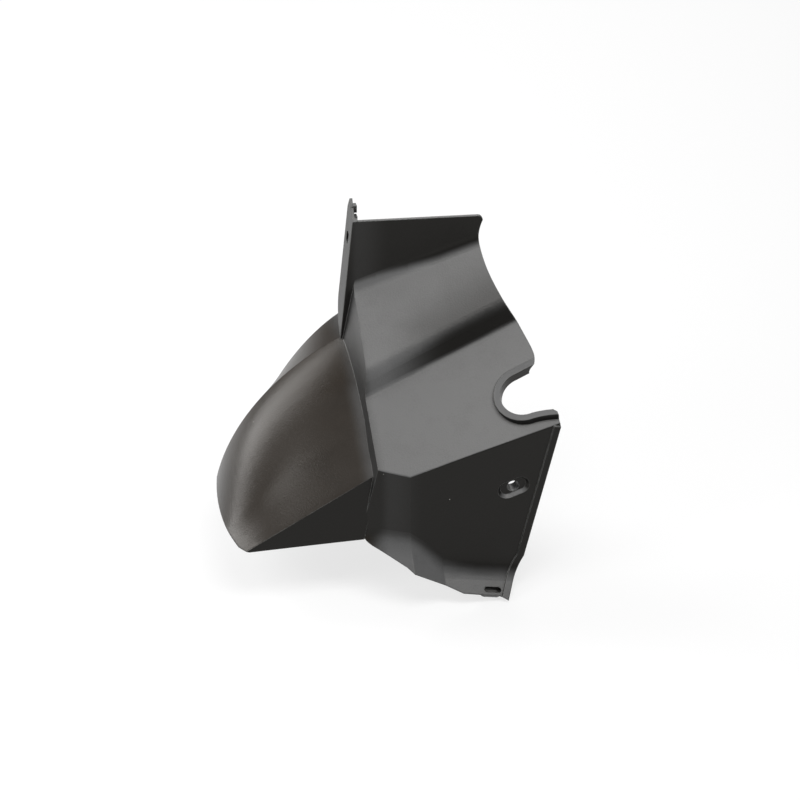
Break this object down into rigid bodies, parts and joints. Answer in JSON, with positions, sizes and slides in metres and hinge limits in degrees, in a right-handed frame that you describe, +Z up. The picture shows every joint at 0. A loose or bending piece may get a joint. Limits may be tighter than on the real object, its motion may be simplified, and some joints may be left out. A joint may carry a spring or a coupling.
{
  "type": "motorcycle rear mudguard",
  "caption": "Rear tyre mudguard moulded as one thin shell: a domed tyre guard, a terraced side body with a lipped notch, a recessed bolt hole and an upright slotted flange.",
  "frame": {"origin": "centre of the recessed bolt hole, on the bolt's seat in the side wall", "axes": "+X forward along the wheel's plane, +Y across the wheel and into the guard, so that the bolt leaves along -Y, +Z up"},
  "size_m": [0.2786, 0.1941, 0.3209],
  "materials": {
    "shell": "fine moulded grain, satin"
  },
  "bodies": {
    "root": {"mudguard_shell": "shell"}
  },
  "joints": []
}
